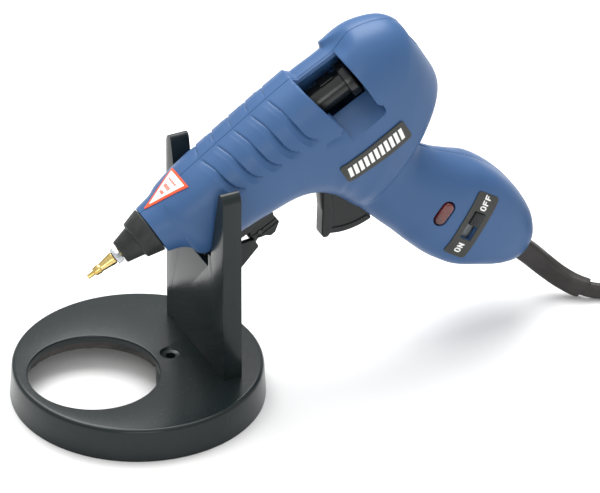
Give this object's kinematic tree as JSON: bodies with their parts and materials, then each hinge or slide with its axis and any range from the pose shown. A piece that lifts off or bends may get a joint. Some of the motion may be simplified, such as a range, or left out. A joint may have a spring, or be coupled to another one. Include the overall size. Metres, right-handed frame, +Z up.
{
  "type": "hot glue gun with stand",
  "caption": "Pistol-shaped hot glue gun with a trigger feed, brass nozzle, side window and flat cord, resting nozzle down in a forked upright on a round base with a drip hole.",
  "frame": {"origin": "on the table under the middle of the upright plate, at the underside of the base", "axes": "+X from the nozzle towards the handle, +Y to the gun's right side, +Z up"},
  "size_m": [0.4536, 0.128, 0.1847],
  "materials": {
    "housing_blue": "satin moulded nylon",
    "stand_black": "semi-gloss moulded",
    "weight_iron": "cast, painted",
    "steel": "zinc plated",
    "nozzle_brass": "turned",
    "boot_rubber": "matt silicone rubber",
    "chamber_aluminium": "die cast",
    "inner_dark": "moulded",
    "heater_ceramic": "ceramic",
    "sleeve_silicone": "silicone",
    "carriage_black": "glossy moulded",
    "trigger_black": "satin moulded",
    "slider_black": "satin moulded",
    "label_dark": "printed film",
    "label_white": "printed film",
    "lamp_red": "tinted polycarbonate",
    "bulb_glass": "clear",
    "cord_dark": "flexible PVC",
    "plug_brass": "stamped"
  },
  "bodies": {
    "stand": {"stand_base": "stand_black", "stand_upright": "stand_black", "base_weight": "weight_iron", "upright_screw_1": "steel", "upright_screw_2": "steel", "cord_coil": "cord_dark", "plug_body": "cord_dark", "plug_blade_1": "plug_brass", "plug_blade_2": "plug_brass"},
    "gun": {"housing_left": "housing_blue", "housing_right": "housing_blue", "housing_screw_1": "steel", "housing_screw_2": "steel", "housing_screw_3": "steel", "housing_screw_4": "steel", "housing_screw_5": "steel", "housing_screw_6": "steel", "nozzle": "nozzle_brass", "nozzle_nut": "steel", "nozzle_boot": "boot_rubber", "heating_chamber": "chamber_aluminium", "chamber_support_front": "inner_dark", "chamber_support_rear": "inner_dark", "heater_cartridge": "heater_ceramic", "inlet_sleeve": "sleeve_silicone", "inlet_clamp": "steel", "stick_guide_tube": "carriage_black", "trigger_pin": "steel", "return_spring": "steel", "switch_body": "inner_dark", "switch_label": "label_dark", "name_plate": "label_dark", "lamp_lens": "lamp_red", "lamp_bulb": "bulb_glass", "warning_label": "label_white", "hook_mount": "stand_black", "hook_pin": "steel", "strain_relief": "cord_dark", "power_cord": "cord_dark", "terminal_block": "heater_ceramic"},
    "trigger": {"trigger": "trigger_black"},
    "carriage": {"feed_carriage": "carriage_black", "carriage_grip": "steel"},
    "switch": {"switch_slider": "slider_black"},
    "hook": {"stand_hook": "stand_black"}
  },
  "joints": [
    {"name": "gun_lift", "type": "slide", "parent": "stand", "child": "gun", "axis": [0, 0, 1], "range_m": [0, 0.12]},
    {"name": "trigger_pull", "type": "hinge", "parent": "gun", "child": "trigger", "pos_m": [0.0745, 0, 0.10187], "axis": [0, -1, 0], "range_deg": [0, 18], "stiffness_Nm_per_rad": 0.6, "springref_deg": -11.46},
    {"name": "feed_slide", "type": "slide", "parent": "gun", "child": "carriage", "axis": [-0.8729, 0, -0.4879], "range_m": [0, 0.012]},
    {"name": "power_switch", "type": "slide", "parent": "gun", "child": "switch", "axis": [0.5563, 0, 0.831], "range_m": [-0.0078, 0]},
    {"name": "hook_swing", "type": "hinge", "parent": "gun", "child": "hook", "pos_m": [0.02754, 0, 0.08135], "axis": [0, -1, 0], "range_deg": [0, 55]}
  ],
  "couplings": [
    {"joint": "feed_slide", "follows": "trigger_pull", "m_per_rad": 0.0379}
  ]
}
